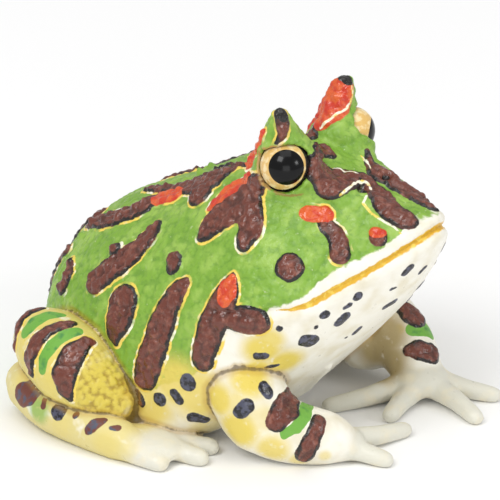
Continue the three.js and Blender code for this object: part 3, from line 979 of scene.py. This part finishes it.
def bar_coats(p, coat, bar):
    """Glossy brown, with painted shade between its lumps and wide mottled black edges."""
    shape = p.ragged(bar, 0.6, 0.16)
    brown = p.coat(BROWN, BROWN_LIGHT, p.step(p.noise(1.3), 0.5, 0.72))
    # painted shade between the bar's lumps
    brown = p.coat(brown, EDGE_BLACK, p.times(p.field("hollow_shade"), 0.45))
    black = p.times(p.step(p.ragged(bar, 1.1, 0.6), -0.8, -0.35), p.step(p.noise(4.0), 0.36, 0.5))
    brown = p.coat(brown, EDGE_BLACK, black)
    return p.coat(coat, brown, p.step(shape, 0.06, -0.06))


def small_coats(p, coat):
    """The mouth line, a brown wash with painted shade in the creases, nostrils and lids, over everything else.
    """
    mouth = p.ragged(p.field("mouth"), 1.6, 0.35)
    yellow = p.coat(MOUTH_YELLOW, OUTLINE_YELLOW, p.step(p.noise(1.4), 0.5, 0.7))
    coat = p.coat(coat, yellow, p.step(mouth, 0.74, 0.54))
    crease = p.field("crease")
    # the creases: a brown wash, partly real paint and partly painted shade, with a dark line along the middle
    coat = p.coat(coat, CREASE_WASH_AND_SHADE, p.times(p.step(p.ragged(crease, 1.8, 0.3), 1.4, 0.3), 0.4))
    coat = p.coat(coat, CREASE_LINE_AND_SHADE, p.times(p.step(crease, 0.45, 0.25), 0.7))
    coat = p.coat(coat, EDGE_BLACK, p.step(p.field("nostril"), 0.8, 0.62))
    lid = p.ragged(p.field("lid"), 0.8, 0.2)
    gold = p.times(p.step(lid, 0.85, 0.6), p.step(p.noise(1.6), 0.3, 0.5), p.field("behind eye"))
    coat = p.coat(coat, LID_GOLD, gold)
    return p.coat(coat, EDGE_BLACK, p.step(lid, 0.36, 0.2))


def skin_paint():
    p = Paint("painted_skin")
    bar, red, leaf, spot = (p.field(name) for name in ("bar", "red", "leaf", "spot"))
    coat = ground_coats(p)
    coat = outline_coat(p, coat, p.field("outlined"))
    leafy = p.coat(LEAF, LEAF_DARK, p.times(p.step(p.noise(1.8), 0.52, 0.72), 0.7))
    coat = p.coat(coat, leafy, p.step(p.ragged(leaf, 0.8, 0.12), 0.06, -0.06))
    coat = bar_coats(p, coat, bar)
    dots = p.coat(BROWN, SPOT, p.step(p.noise(1.6), 0.5, 0.66))
    coat = p.coat(coat, dots, p.step(p.ragged(p.field("dot"), 0.6, 0.12), 0.08, -0.1))
    reds = p.coat(RED, ORANGE, p.step(p.noise(2.0), 0.36, 0.6))
    coat = p.coat(coat, reds, p.step(p.ragged(red, 0.8, 0.15), 0.08, -0.08))
    dark = p.coat(SPOT, SPOT_DARK, p.step(p.noise(1.0), 0.4, 0.56))
    coat = p.coat(coat, dark, p.step(p.ragged(spot, 0.6, 0.12), 0.08, -0.1))
    coat = p.coat(coat, EDGE_BLACK, p.step(p.ragged(p.field("black"), 0.6, 0.12), 0.08, -0.1))
    coat = p.coat(coat, RUST, p.times(p.step(p.ragged(p.field("rust"), 0.7, 0.2), 0.1, -0.05), 0.6))
    rim = p.coat(OUTLINE_CREAM, OUTLINE_YELLOW, p.step(p.noise(2.0), 0.48, 0.6))
    coat = p.coat(coat, rim, p.step(p.ragged(p.field("rim"), 0.7, 0.12), 0.08, -0.08))
    p.feed(p.shader.inputs["Base Color"], small_coats(p, coat))
    glossy = p.step(p.math("MINIMUM", p.math("MINIMUM", bar, red), spot), 0.1, -0.3)
    rough = p.math("SUBTRACT", p.step(p.noise(1.2), -0.4, 1.6), p.times(glossy, 0.22))
    p.feed(p.shader.inputs["Roughness"], rough)
    fine = p.add("ShaderNodeBump")
    fine.inputs["Strength"].default_value = 0.6
    fine.inputs["Distance"].default_value = 0.12 * MM
    p.feed(fine.inputs["Height"], p.noise(0.55, 4.0))
    lumps = p.add("ShaderNodeBump")
    lumps.inputs["Strength"].default_value = 0.55
    lumps.inputs["Distance"].default_value = 0.3 * MM
    p.feed(lumps.inputs["Height"], p.times(p.noise(1.1, 1.0), p.field("lumpy")))
    p.feed(lumps.inputs["Normal"], fine.outputs["Normal"])
    p.feed(p.shader.inputs["Normal"], lumps.outputs["Normal"])
    return p.material


def eye_paint():
    p = Paint("painted_eye")
    ring = p.coat(IRIS_GOLD, IRIS_LIGHT, p.step(p.noise(1.2), 0.42, 0.66))
    coat = p.coat(ring, EDGE_BLACK, p.step(p.ragged(p.field("past ring"), 1.1, 3.0), -1.5, 1.5))
    coat = p.coat(coat, PUPIL, p.step(p.field("past pupil"), 0.8, -0.8))
    p.feed(p.shader.inputs["Base Color"], coat)
    p.shader.inputs["Roughness"].default_value = 0.16
    p.shader.inputs["Specular IOR Level"].default_value = 0.25
    return p.material


def floor_paint():
    p = Paint("pale_floor")
    p.shader.inputs["Base Color"].default_value = linear(FLOOR)
    p.shader.inputs["Roughness"].default_value = 0.9
    p.shader.inputs["Specular IOR Level"].default_value = 0.1
    return p.material


# The pieces
def add_piece(name, points, faces, material, nodes, fields):
    mesh = new_mesh(name, points * MM, faces)
    mesh.shade_smooth()
    mesh.materials.append(material)
    for key, values in fields.items():
        attribute = mesh.attributes.new(key, "FLOAT", "POINT")
        attribute.data.foreach_set("value", values.astype(np.float32))
    piece = bpy.data.objects.new(name, mesh)
    bpy.context.scene.collection.objects.link(piece)
    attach(piece, "root")
    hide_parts(*nodes)


def add_skin():
    skin = Skin()
    paint_fields(skin)
    points = skin.points + skin.normals * relief(skin)[:, None]
    low = skin.points[:, 2] < GROUND_BAND
    points[low] = skin.points[low]
    points[:, 2] = np.maximum(points[:, 2], 0)
    add_piece("skin", points, skin.faces, skin_paint(), skin.names, skin.fields)


def ball(middle, radius, around=96, rows=64):
    """A sphere in rings of four-cornered faces, closed at the poles by thin ones of three."""
    turns = np.arange(around) * 2 * math.pi / around
    rings = np.arange(1, rows) * math.pi / rows
    wide, high = np.meshgrid(turns, rings)
    grid = np.stack([np.sin(high) * np.cos(wide), np.sin(high) * np.sin(wide), np.cos(high)], axis=-1)
    points = np.concatenate([grid.reshape(-1, 3), [[0, 0, 1], [0, 0, -1]]])
    faces = []
    for row in range(rows - 2):
        ring, below = row * around, (row + 1) * around
        for k in range(around):
            after = (k + 1) % around
            faces.append([ring + k, below + k, below + after, ring + after])
    top, bottom, last = len(points) - 2, len(points) - 1, (rows - 2) * around
    for k in range(around):
        after = (k + 1) % around
        faces.append([top, k, after])
        faces.append([bottom, last + after, last + k])
    return middle + radius * points, faces


def degrees_from(lean, directions, side):
    """How many degrees each direction is from the leant line to the camera, mirrored for the left eye."""
    back, right, up = view_axes()
    middle = unit(back + right * lean[0] - up * lean[1])
    if side > 0:
        middle = mirrored(middle)
    return np.degrees(np.arccos(np.clip(directions @ middle, -1, 1)))


def add_eye(name, side, material):
    middle, radius = eye_shape(name)
    points, faces = ball(middle, radius)
    directions = unit(points - middle)
    fields = {
        "past pupil": degrees_from(PUPIL_LEAN[name], directions, side) - PUPIL_EDGE,
        "past ring": degrees_from(RING_LEAN, directions, side) - RING_EDGE[name],
    }
    add_piece(f"{name}ball", points, faces, material, [name], fields)


# The stage
def add_floor():
    half = FLOOR_HALF
    corners = np.array([[-half, -half, 0], [half, -half, 0], [half, half, 0], [-half, half, 0]])
    floor = bpy.data.objects.new("floor", new_mesh("floor", corners, np.array([[0, 1, 2, 3]])))
    floor.data.materials.append(floor_paint())
    bpy.context.scene.collection.objects.link(floor)


def add_softbox(name, across, up, size, watts):
    """A square lamp in the direction given in degrees from the camera's side, aimed at the figure."""
    turn, rise = math.radians(AZIMUTH + across), math.radians(up)
    away = np.array([math.sin(turn) * math.cos(rise), -math.cos(turn) * math.cos(rise), math.sin(rise)])
    data = bpy.data.lights.new(name, "AREA")
    data.size, data.energy = size, watts
    lamp = bpy.data.objects.new(name, data)
    lamp.location = target_point() * MM + away * LAMP_DISTANCE
    lamp.rotation_euler = Vector(-away).to_track_quat("-Z", "Y").to_euler()
    bpy.context.scene.collection.objects.link(lamp)


def add_lights():
    for name, (across, up, size, watts) in LAMPS.items():
        add_softbox(name, across, up, size, watts)
    world = bpy.data.worlds.new("studio")
    world.use_nodes = True
    background = world.node_tree.nodes["Background"]
    background.inputs["Color"].default_value = (1, 1, 1, 1)
    background.inputs["Strength"].default_value = WORLD_LIGHT
    bpy.context.scene.world = world
    bpy.context.scene.view_settings.view_transform = "Standard"


add_camera()
add_skin()
for eye_name, eye_side in zip(EYES, (-1, 1)):
    add_eye(eye_name, eye_side, eye_paint())
add_floor()
add_lights()
